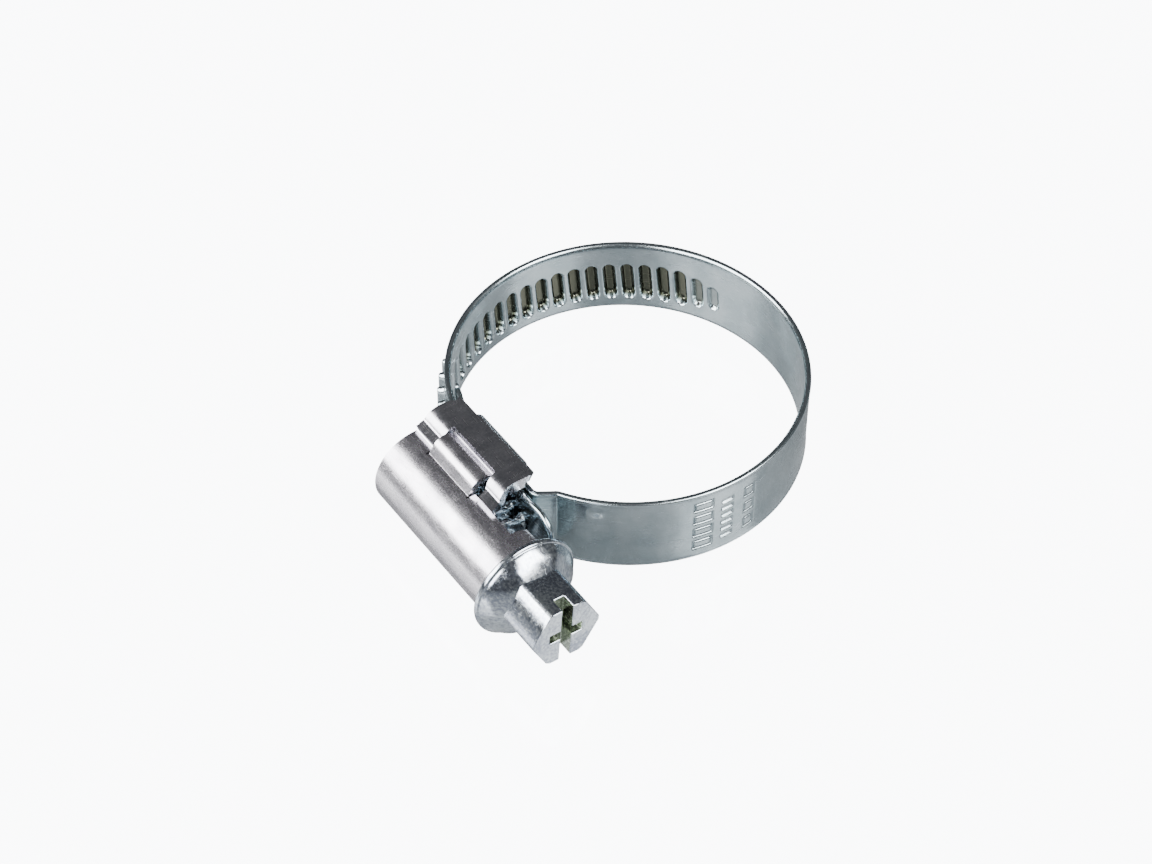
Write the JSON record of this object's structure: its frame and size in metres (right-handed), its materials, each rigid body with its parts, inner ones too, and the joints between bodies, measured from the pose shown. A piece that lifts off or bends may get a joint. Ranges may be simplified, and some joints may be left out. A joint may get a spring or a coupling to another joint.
{
  "type": "hose clamp",
  "caption": "Round steel band with pressed ribs, pulled tight round a hose by a worm screw with a slotted hexagon head, held in a rolled housing.",
  "frame": {"origin": "centre of the round bore, half way up the band's width", "axes": "+Z along the bore's axis; +X along the screw towards its head; the worm housing is on the -Y side of the ring"},
  "size_m": [0.0407, 0.0465, 0.013],
  "materials": {
    "band": "satin zinc plating, slightly blue-grey, with rolled edges",
    "housing": "bright zinc plating, soft wide highlights",
    "saddle": "smooth zinc plating with fine scratches",
    "screw": "blue zinc plating with faint yellow-green tints in the recess"
  },
  "bodies": {
    "housing": {"worm_housing": "housing", "saddle": "saddle", "band_fixed_end": "band"},
    "screw": {"worm_screw": "screw"},
    "link_01": {"band_link_01": "band"},
    "link_02": {"band_link_02": "band"},
    "link_03": {"band_link_03": "band"},
    "link_04": {"band_link_04": "band"},
    "link_05": {"band_link_05": "band"},
    "link_06": {"band_link_06": "band"},
    "link_07": {"band_link_07": "band"},
    "link_08": {"band_link_08": "band"},
    "link_09": {"band_link_09": "band"},
    "link_10": {"band_link_10": "band"},
    "link_11": {"band_link_11": "band"},
    "tail": {"band_tail": "band"}
  },
  "joints": [
    {"name": "screw_turn", "type": "hinge", "parent": "housing", "child": "screw", "pos_m": [0, -0.0225, 0], "axis": [-1, 0, 0], "range_deg": [-1080, 180]},
    {"name": "band_bend_00", "type": "hinge", "parent": "housing", "child": "link_01", "pos_m": [0.01205, -0.01338, 0], "axis": [0, 0, 1], "range_deg": [-0.41, 0.32]},
    {"name": "band_bend_01", "type": "hinge", "parent": "link_01", "child": "link_02", "pos_m": [0.01773, -0.00315, 0], "axis": [0, 0, 1], "range_deg": [-2.38, 0.65]},
    {"name": "band_bend_02", "type": "hinge", "parent": "link_02", "child": "link_03", "pos_m": [0.01524, 0.0096, 0], "axis": [0, 0, 1], "range_deg": [-2.84, 0.72]},
    {"name": "band_bend_03", "type": "hinge", "parent": "link_03", "child": "link_04", "pos_m": [0.0066, 0.01676, 0], "axis": [0, 0, 1], "range_deg": [-2.7, 0.7]},
    {"name": "band_bend_04", "type": "hinge", "parent": "link_04", "child": "link_05", "pos_m": [-0.0064, 0.01684, 0], "axis": [0, 0, 1], "range_deg": [-2.13, 0.6]},
    {"name": "band_bend_05", "type": "hinge", "parent": "link_05", "child": "link_06", "pos_m": [-0.01512, 0.00979, 0], "axis": [0, 0, 1], "range_deg": [-1.7, 0.53]},
    {"name": "band_bend_06", "type": "hinge", "parent": "link_06", "child": "link_07", "pos_m": [-0.01777, -0.00294, 0], "axis": [0, 0, 1], "range_deg": [-1.65, 0.52]},
    {"name": "band_bend_07", "type": "hinge", "parent": "link_07", "child": "link_08", "pos_m": [-0.01259, -0.01288, 0], "axis": [0, 0, 1], "range_deg": [-2.07, 0.59]},
    {"name": "band_bend_08", "type": "hinge", "parent": "link_08", "child": "link_09", "pos_m": [-0.00064, -0.018, 0], "axis": [0, 0, 1], "range_deg": [-1.07, 0.43]},
    {"name": "band_bend_09", "type": "hinge", "parent": "link_09", "child": "link_10", "pos_m": [0.00126, -0.01801, 0], "axis": [0, 0, 1], "range_deg": [-1.16, 5.44]},
    {"name": "band_bend_10", "type": "hinge", "parent": "link_10", "child": "link_11", "pos_m": [0.00316, -0.01801, 0], "axis": [0, 0, 1], "range_deg": [-1.14, 5.35]},
    {"name": "band_bend_11", "type": "hinge", "parent": "link_11", "child": "tail", "pos_m": [0.00506, -0.01801, 0], "axis": [0, 0, 1], "range_deg": [-0.97, 4.35]}
  ],
  "couplings": [
    {"joint": "band_bend_00", "follows": "screw_turn", "ratio": 0.000101},
    {"joint": "band_bend_01", "follows": "screw_turn", "ratio": 0.00193},
    {"joint": "band_bend_02", "follows": "screw_turn", "ratio": 0.002352},
    {"joint": "band_bend_03", "follows": "screw_turn", "ratio": 0.002223},
    {"joint": "band_bend_04", "follows": "screw_turn", "ratio": 0.001692},
    {"joint": "band_bend_05", "follows": "screw_turn", "ratio": 0.001293},
    {"joint": "band_bend_06", "follows": "screw_turn", "ratio": 0.001247},
    {"joint": "band_bend_07", "follows": "screw_turn", "ratio": 0.001638},
    {"joint": "band_bend_08", "follows": "screw_turn", "ratio": 0.000711},
    {"joint": "band_bend_09", "follows": "screw_turn", "ratio": -0.004761},
    {"joint": "band_bend_10", "follows": "screw_turn", "ratio": -0.004678},
    {"joint": "band_bend_11", "follows": "screw_turn", "ratio": -0.003748}
  ]
}
